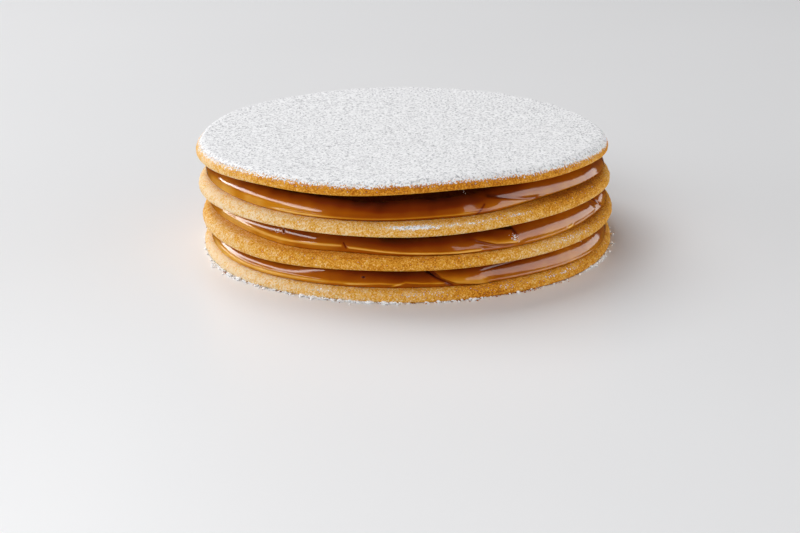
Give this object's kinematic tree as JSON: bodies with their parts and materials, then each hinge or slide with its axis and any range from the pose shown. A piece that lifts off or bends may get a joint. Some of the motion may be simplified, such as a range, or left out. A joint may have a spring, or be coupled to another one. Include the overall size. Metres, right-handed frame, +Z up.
{
  "type": "alfajor cake",
  "caption": "Round layered alfajor cake of shortbread discs with thick dulce de leche between them and icing sugar on top.",
  "frame": {"origin": "centre of the cake's bounding box, on the level of its flat underside", "axes": "+Z up out of the sugared top; -Y towards the side that is seen from the front; +X to the right of someone who faces that side"},
  "size_m": [0.2227, 0.2209, 0.0642],
  "materials": {
    "biscuit": "dry, fine-grained baked crumb, golden and browner in patches",
    "dulce": "thick, wet and glossy caramel",
    "icing_sugar": "matte white powder with a fine grain"
  },
  "bodies": {
    "root": {"biscuit_base": "biscuit", "dulce_lower": "dulce", "biscuit_lower": "biscuit", "dulce_middle": "dulce", "biscuit_upper": "biscuit", "dulce_upper": "dulce", "biscuit_top": "biscuit", "icing_sugar": "icing_sugar"}
  },
  "joints": []
}
